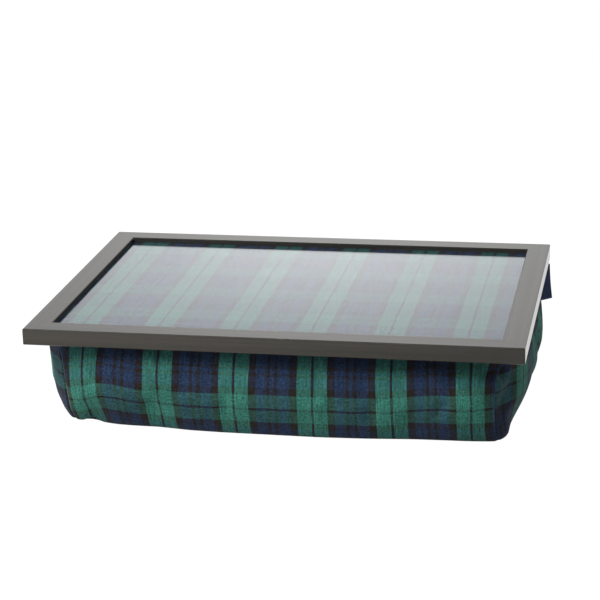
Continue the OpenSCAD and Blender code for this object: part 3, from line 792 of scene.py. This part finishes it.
def inflate(form):
    """Puffs the cover out between its seams, held under the tray, on the table and round the zip."""
    mesh = form.data
    target = coordinates(mesh)
    seams = seam_vertices(mesh)
    x, y, z = target.T
    under_tray = z > SEAM_HEIGHT + HELD_CROWN * CROWN_RISE
    on_table = z < HELD_BASE
    at_zip = (y > ZIP_HELD_OUT) & (np.abs(x) < ZIP_HELD_HALF)
    held = seams | under_tray | on_table | at_zip
    put_coordinates(mesh, target - vertex_normals(mesh) * np.where(held, 0.0, START_INSET)[:, None])
    group = form.vertex_groups.new(name="held")
    group.add([int(n) for n in np.flatnonzero(held)], 1.0, "REPLACE")
    cloth = form.modifiers.new("Cloth", "CLOTH")
    settings = cloth.settings
    settings.quality = 6
    settings.mass = 0.3
    settings.tension_stiffness = 15
    settings.compression_stiffness = 15
    settings.shear_stiffness = 5
    settings.bending_stiffness = 0.2
    settings.use_pressure = True
    settings.uniform_pressure_force = 4
    settings.shrink_min = -CLOTH_GROWTH
    settings.effector_weights.gravity = 0
    settings.vertex_group_mass = "held"
    cloth.collision_settings.use_collision = False
    scene = bpy.context.scene
    for step in range(1, CLOTH_FRAMES + 1):
        scene.frame_set(step)
    graph = bpy.context.evaluated_depsgraph_get()
    found = coordinates(form.evaluated_get(graph).data)
    scene.frame_set(1)
    form.modifiers.clear()
    form.vertex_groups.clear()
    move = found - target
    length = np.linalg.norm(move, axis=1)
    move *= np.minimum(1, MOST_MOVE / np.maximum(length, 1e-9))[:, None]
    move *= np.interp(target[:, 2], LOW_EDGE, (0, 1))[:, None]
    put_coordinates(mesh, target + move)


def bag_inside(points):
    """The cover's form made smaller all round, for the bead bag."""
    low, high = points.min(axis=0), points.max(axis=0)
    middle, half = (low + high) / 2, (high - low) / 2
    return middle + (points - middle) * (1 - BAG_GAP / half)


def sew(form):
    """Draws the cloth in along the seams and puckers it beside them."""
    mesh = form.data
    points, normals = coordinates(mesh), vertex_normals(mesh)
    seams = np.flatnonzero(seam_vertices(mesh))
    tree = KDTree(len(seams))
    for n in seams:
        tree.insert(points[n], int(n))
    tree.balance()
    move = np.zeros(len(points))
    for n, point in enumerate(points):
        nearest, _, distance = tree.find(point)
        if distance > 3 * PUCKER_REACH:
            continue
        pucker = noise.noise(nearest / PUCKER_PITCH) + 0.5 * noise.noise(nearest / FINE_PUCKER_PITCH)
        swell = math.exp(-distance / PUCKER_REACH) * (1 - math.exp(-distance / PUCKER_START))
        groove = math.exp(-(distance / GROOVE_WIDTH) ** 2)
        move[n] = PUCKER_HEIGHT * pucker * swell - SEAM_DEPTH * groove
    points = points + normals * move[:, None]
    points[:, 2] = np.maximum(points[:, 2], TABLE_GAP)
    put_coordinates(mesh, points)


def panel_piece(form, panel, name):
    """One panel of the cover as a mesh of its own."""
    mesh = form.data
    polygons = [p for p in mesh.polygons if p.material_index == panel]
    used = sorted({v for p in polygons for v in p.vertices})
    place = {v: n for n, v in enumerate(used)}
    source = mesh.uv_layers["cloth"].data
    new = bpy.data.meshes.new(name)
    new.from_pydata([tuple(mesh.vertices[v].co) for v in used], [],
                    [[place[v] for v in p.vertices] for p in polygons])
    layer = new.uv_layers.new(name="cloth")
    loops = [loop for p in polygons for loop in p.loop_indices]
    for n, loop in enumerate(loops):
        layer.data[n].uv = source[loop].uv
    piece = bpy.data.objects.new(name, new)
    bpy.context.scene.collection.objects.link(piece)
    return piece


def open_for_zip(piece, half_length):
    """Cuts the slot for the zip in the back wall."""
    work = bmesh.new()
    work.from_mesh(piece.data)
    gone = [f for f in work.faces
            if f.calc_center_median().y > BACK_WALL
            and abs(f.calc_center_median().x) < half_length
            and abs(f.calc_center_median().z - ZIP_Z) < ZIP_OPENING]
    bmesh.ops.delete(work, geom=gone, context="FACES")
    for v in work.verts:
        if v.is_boundary and v.co.y > BACK_WALL and abs(v.co.z - ZIP_Z) < 2 * ZIP_OPENING:
            if abs(abs(v.co.x) - half_length) < SLOT_SNAP:
                v.co.x = math.copysign(half_length, v.co.x)
            if abs(v.co.z - ZIP_Z) > MM:
                v.co.z = ZIP_Z + math.copysign(ZIP_OPENING, v.co.z - ZIP_Z)
    work.to_mesh(piece.data)
    work.free()


def give_thickness(piece, thickness):
    solid = piece.modifiers.new("thickness", "SOLIDIFY")
    solid.thickness = thickness
    solid.offset = -1
    solid.use_even_offset = False
    bake_modifiers(piece)


def make_cushion(material, bag_material):
    """The cover's four panels, sewn and with the zip's slot, and the bead bag inside them."""
    form = closed_cushion()
    inflate(form)
    smooth = form.modifiers.new("smooth", "SUBSURF")
    smooth.levels = 1
    smooth.render_levels = 1
    bake_modifiers(form)
    bag_points = bag_inside(coordinates(form.data))
    sew(form)
    for panel, name, node in ((BODY, "tartan_body_panel", "cover_body"),
                              (TOP, "tartan_top_panel", "cover_top"),
                              (GUSSET_LEFT, "tartan_gusset_left", "gusset_left"),
                              (GUSSET_RIGHT, "tartan_gusset_right", "gusset_right")):
        piece = panel_piece(form, panel, name)
        if panel == BODY:
            open_for_zip(piece, ZIP_HALF_LENGTH)
        give_thickness(piece, COVER_THICKNESS)
        finish_piece(piece, material, "cushion", node)
    form.name = "bead_bag"
    bag_points[:, 1] = np.minimum(bag_points[:, 1], BAG_BACK)
    put_coordinates(form.data, bag_points)
    finish_piece(form, bag_material, "cushion", "bead_fill")


# Zip
def tube(path, radius, sides):
    """Vertices and faces of a round wire along a list of points."""
    points = [Vector(p) for p in path]
    vertices, faces = [], []
    side_way = None
    for n, point in enumerate(points):
        ahead = (points[min(n + 1, len(points) - 1)] - points[max(n - 1, 0)]).normalized()
        if side_way is None:
            side_way = ahead.orthogonal().normalized()
        side_way = (side_way - ahead * side_way.dot(ahead)).normalized()
        third = ahead.cross(side_way)
        for k in range(sides):
            angle = 2 * math.pi * k / sides
            vertices.append(point + radius * (math.cos(angle) * side_way + math.sin(angle) * third))
    for n in range(len(points) - 1):
        for k in range(sides):
            a, b = n * sides + k, n * sides + (k + 1) % sides
            faces.append((a, b, b + sides, a + sides))
    faces.append(tuple(reversed(range(sides))))
    faces.append(tuple(range((len(points) - 1) * sides, len(points) * sides)))
    return vertices, faces


def join_parts(parts):
    vertices, faces = [], []
    for part_vertices, part_faces in parts:
        start = len(vertices)
        vertices.extend(part_vertices)
        faces.extend(tuple(start + v for v in face) for face in part_faces)
    return vertices, faces


def zip_coil(node, name, material):
    """One row of nylon coil: a flattened helix with its turns side by side."""
    low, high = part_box(node)
    middle = (low + high) / 2
    reach_y = (high.y - low.y) / 2 - COIL_WIRE
    reach_z = (high.z - low.z) / 2 - COIL_WIRE
    turns = int((high.x - low.x - 2 * COIL_WIRE) / COIL_PITCH)
    start = middle.x - turns * COIL_PITCH / 2
    path = []
    for n in range(turns * COIL_STEPS + 1):
        angle = 2 * math.pi * n / COIL_STEPS
        path.append((start + COIL_PITCH * n / COIL_STEPS, middle.y + reach_y * math.cos(angle),
                     middle.z + reach_z * math.sin(angle)))
    vertices, faces = tube(path, COIL_WIRE, WIRE_SIDES)
    new_piece(name, vertices, faces, material, "cushion", node)


def woven_tape(node, name, material):
    """A zip tape as a thin flat ribbon, closed along its edges."""
    low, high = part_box(node)
    cells_x, cells_z = TAPE_CELLS
    vertices, cloth = [], []
    for layer in (high.y, low.y):
        for j in range(cells_z + 1):
            for i in range(cells_x + 1):
                x = lerp(low.x, high.x, i / cells_x)
                z = lerp(low.z, high.z, j / cells_z)
                vertices.append((x, layer, z))
                cloth.append((x, z))
    wide, high_count = cells_x + 1, cells_z + 1
    count = wide * high_count
    faces = [tuple(reversed(f)) for f in grid_faces(wide, high_count)]
    faces += grid_faces(wide, high_count, count)
    rim = (list(range(wide)) + [j * wide + wide - 1 for j in range(1, high_count)]
           + [(high_count - 1) * wide + i for i in range(wide - 2, -1, -1)]
           + [j * wide for j in range(high_count - 2, 0, -1)])
    for a, b in zip(rim, rim[1:] + rim[:1]):
        faces.append((a, b, b + count, a + count))
    new_piece(name, vertices, faces, material, "cushion", node, cloth, smooth=False)


def zip_stitching(material):
    """Topstitching along both edges of the zip's slot."""
    parts = []
    face = FRONT_OUT[1]
    pitch = STITCH_LENGTH + STITCH_GAP
    count = int(2 * ZIP_HALF_LENGTH / pitch)
    for side in (-1, 1):
        z = ZIP_Z + side * (ZIP_OPENING + STITCH_SETBACK)
        for n in range(count):
            x = (n - (count - 1) / 2) * pitch
            path = [(x + STITCH_LENGTH * (t - 0.5),
                     face + STITCH_RISE * math.sin(math.pi * t) - STITCH_SUNK, z)
                    for t in (0, 0.15, 0.4, 0.6, 0.85, 1)]
            parts.append(tube(path, STITCH_RADIUS, WIRE_SIDES))
    vertices, faces = join_parts(parts)
    new_piece("zip_topstitching", vertices, faces, material, "cushion")


# Label and panel
def flag_label(material):
    """A ribbon folded double, sewn into the right back seam and standing out from the corner."""
    seam = seam_line(1, 1)
    root = Vector((seam[LOWER_CELLS + 2][0], seam[LOWER_CELLS + 2][1], SEAM_HEIGHT - LABEL_DROP))
    half = LABEL_GAP / 2 + LABEL_PLY
    flat_run = LABEL_REACH - half
    run = [lerp(-LABEL_ROOT, flat_run, n / LABEL_CELLS) for n in range(LABEL_CELLS + 1)]
    fold = [math.pi * n / FOLD_CELLS for n in range(1, FOLD_CELLS)]
    outline = ([(out, -half) for out in run]
               + [(flat_run + half * math.sin(turn), -half * math.cos(turn)) for turn in fold]
               + [(out, half) for out in reversed(run)])
    lengths = [0.0]
    for a, b in zip(outline, outline[1:]):
        lengths.append(lengths[-1] + math.hypot(b[0] - a[0], b[1] - a[1]))
    vertices, cloth = [], []
    for j in range(LABEL_ROWS):
        down = LABEL_HEIGHT * j / (LABEL_ROWS - 1)
        for (out, side), length in zip(outline, lengths):
            share = max(0.0, out / LABEL_REACH)
            bend = LABEL_CURL * share ** 2 * math.sin(CURL_START + CURL_TURN * down / LABEL_HEIGHT)
            reach = out * math.cos(LABEL_LEAN) + down * math.sin(LABEL_LEAN)
            z = out * math.sin(LABEL_LEAN) - down * math.cos(LABEL_LEAN)
            x = reach * math.cos(LABEL_TURN) - (side + bend) * math.sin(LABEL_TURN)
            y = reach * math.sin(LABEL_TURN) + (side + bend) * math.cos(LABEL_TURN)
            vertices.append(root + Vector((x, y, z)))
            cloth.append((length, down))
    faces = [tuple(reversed(f)) for f in grid_faces(len(outline), LABEL_ROWS)]
    label = new_piece("woven_label", vertices, faces, material, "cushion", "flag_label",
                      cloth)
    give_thickness(label, LABEL_PLY)


def panel_cloth(material):
    """The tartan cloth pressed flat between the board and the clear sheet."""
    low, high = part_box("panel_fabric")
    cells_x, cells_y = PANEL_CELLS
    vertices, cloth = [], []
    for j in range(cells_y + 1):
        for i in range(cells_x + 1):
            x, y = lerp(low.x, high.x, i / cells_x), lerp(low.y, high.y, j / cells_y)
            ripple = PANEL_RIPPLE * noise.noise(Vector((x, y, 0)) / RIPPLE_PITCH)
            vertices.append((x, y, high.z - PANEL_SETBACK + ripple))
            drawn = float(np.interp(y, *np.array(PANEL_SKEW).T * MM))
            cloth.append((x - PANEL_GREEN[0], y - PANEL_GREEN[1] - drawn))
    piece = new_piece("tartan_panel_cloth", vertices, grid_faces(cells_x + 1, cells_y + 1), material,
                      "tray", "panel_fabric", cloth)
    give_thickness(piece, PANEL_THICKNESS)


# Materials
frame_long = frame_finish("frame_foil_long", 0)
frame_cross = frame_finish("frame_foil_cross", 1)
cushion_tartan = tartan("cushion_tartan")
# The panel's copy of the tartan has its blue threads 1.3 times brighter than the cushion's: painted light
# for the cloth under the sheet
panel_tartan = tartan("panel_tartan", blue=1.3)
steel = metal("steel", (0.55, 0.55, 0.56), 0.35)
zip_metal = metal("zip_gunmetal", (0.32, 0.32, 0.33), 0.28)
tape_cloth = ribbed_cloth("zip_tape_cloth", (0.014, 0.018, 0.032), 0.8 * MM)
label_cloth = ribbed_cloth("label_cloth", (0.028, 0.052, 0.135), 0.5 * MM, 0.15, 0.55)
thread = moulded("navy_thread", (0.02, 0.028, 0.06), 0.6)

dress(["front_rail", "back_rail"], frame_long, bevel=0.15 * MM)
dress(["left_rail", "right_rail"], frame_cross, bevel=0.15 * MM)
dress(["clear_sheet"], clear_acrylic("clear_acrylic"))
dress(["backing_board"], hardboard("hardboard"))
dress(["corner_nails", "glazing_points"], steel)
strips = ["front_left", "front_right", "back_left", "back_right"]
dress([f"hook_strip_{s}" for s in strips],
      pile("hook_pile", (0.004, 0.005, 0.008), (0.03, 0.032, 0.04), 1.4 * MM))
dress([f"loop_strip_{s}" for s in strips],
      pile("loop_pile", (0.012, 0.014, 0.02), (0.06, 0.065, 0.085), 0.9 * MM))
dress(["zip_top_stops", "zip_bottom_stop", "zip_slider", "zip_pull"], zip_metal, bevel=0.12 * MM)

# Soft pieces
make_cushion(cushion_tartan, bag_cloth("bag_lining"))
panel_cloth(panel_tartan)
coil_nylon = moulded("coil_nylon", (0.012, 0.014, 0.02), 0.35)
for row in ("zip_coil_upper", "zip_coil_lower"):
    zip_coil(row, f"{row}_turns", coil_nylon)
for tape in ("zip_tape_upper", "zip_tape_lower"):
    woven_tape(tape, f"{tape}_cloth", tape_cloth)
zip_stitching(thread)
flag_label(label_cloth)


# Stage, lamps and camera
def make_floor():
    half = FLOOR_SIZE / 2
    corners = [(x * half, y * half, -FLOOR_GAP) for x, y in ((-1, -1), (1, -1), (1, 1), (-1, 1))]
    floor = mesh_object("floor", corners, [(0, 1, 2, 3)])
    floor.data.materials.append(white_floor("pale_floor"))


def make_world():
    """Plain surroundings: white to the camera, a glowing backdrop to mirrors, and even light elsewhere."""
    world = bpy.data.worlds.new("studio")
    world.use_nodes = True
    nodes = Nodes(world.node_tree)

    def bell(value, middle, spread, one_sided=False):
        away = nodes.math("DIVIDE", nodes.math("SUBTRACT", value, middle), spread)
        if one_sided:
            away = nodes.math("MAXIMUM", away, 0.0)
        square = nodes.math("MULTIPLY", away, away)
        return nodes.math("POWER", math.e, nodes.math("MULTIPLY", square, -1.0))

    path = nodes.add("LightPath").outputs
    direction = nodes.add("TexCoord").outputs["Generated"]
    across, depth, upward = nodes.add("SeparateXYZ", {"Vector": direction}).outputs
    behind = nodes.math("GREATER_THAN", depth, 0.0)
    glow = nodes.math("MULTIPLY", bell(across, GLOW_ACROSS, GLOW_SPREAD),
                      bell(upward, GLOW_UP, GLOW_FALL, one_sided=True))
    glow = nodes.math("MULTIPLY", nodes.math("MULTIPLY", glow, behind), GLOW)
    facing = nodes.ranged(depth, -FACING_SPREAD, FACING_SPREAD, MIRRORED_FRONT, 1.0)
    mirrored = nodes.add("CombineColor", {channel: nodes.math("MULTIPLY_ADD", facing, tint, glow)
                                          for channel, tint in MIRRORED_TINT.items()})
    seen = nodes.math("MAXIMUM", path["Is Camera Ray"], path["Is Transmission Ray"])
    plain = nodes.math("MULTIPLY_ADD", seen, 1.0 - WORLD_STRENGTH, WORLD_STRENGTH)
    even = nodes.shade((1, 1, 1, 1), plain)
    tone = nodes.mix(path["Is Glossy Ray"], even, mirrored.outputs[0])
    background = nodes.add("Background", {"Color": tone})
    nodes.add("OutputWorld", {"Surface": background.outputs[0]})
    bpy.context.scene.world = world


def softbox(name, place, target, size, power):
    """An area lamp turned towards a target, which mirrors don't show."""
    lamp = bpy.data.lights.new(name, "AREA")
    lamp.shape = "RECTANGLE"
    lamp.size, lamp.size_y = size
    lamp.energy = power
    holder = bpy.data.objects.new(name, lamp)
    holder.location = place
    holder.visible_glossy = False
    holder.rotation_mode = "QUATERNION"
    holder.rotation_quaternion = (Vector(target) - Vector(place)).to_track_quat("-Z", "Y")
    bpy.context.scene.collection.objects.link(holder)


def make_camera():
    azimuth, elevation, roll = (math.radians(v) for v in (CAMERA_AZIMUTH, CAMERA_ELEVATION, CAMERA_ROLL))
    back = Vector((math.sin(azimuth) * math.cos(elevation), -math.cos(azimuth) * math.cos(elevation),
                   math.sin(elevation)))
    level = Vector((math.cos(azimuth), math.sin(azimuth), 0))
    upright = back.cross(level)
    right = math.cos(roll) * level + math.sin(roll) * upright
    up = math.cos(roll) * upright - math.sin(roll) * level
    tray_top = Vector((0, 0, cad_box[1].z))
    place = tray_top + back * CAMERA_DISTANCE + right * CAMERA_OFFSET[0] + up * CAMERA_OFFSET[1]
    lens = bpy.data.cameras.new("camera")
    lens.sensor_width = SENSOR_WIDTH
    lens.lens = FOCAL_PIXELS / PICTURE_PIXELS * SENSOR_WIDTH
    lens.clip_start, lens.clip_end = 0.1, 50
    camera = bpy.data.objects.new("camera", lens)
    turn = Matrix((right, up, back)).transposed().to_4x4()
    camera.matrix_world = Matrix.Translation(place) @ turn
    bpy.context.scene.collection.objects.link(camera)
    bpy.context.scene.camera = camera


make_floor()
make_world()
for lamp_name, settings in LAMPS.items():
    softbox(lamp_name, *settings)
make_camera()
bpy.context.scene.view_settings.view_transform = "Standard"
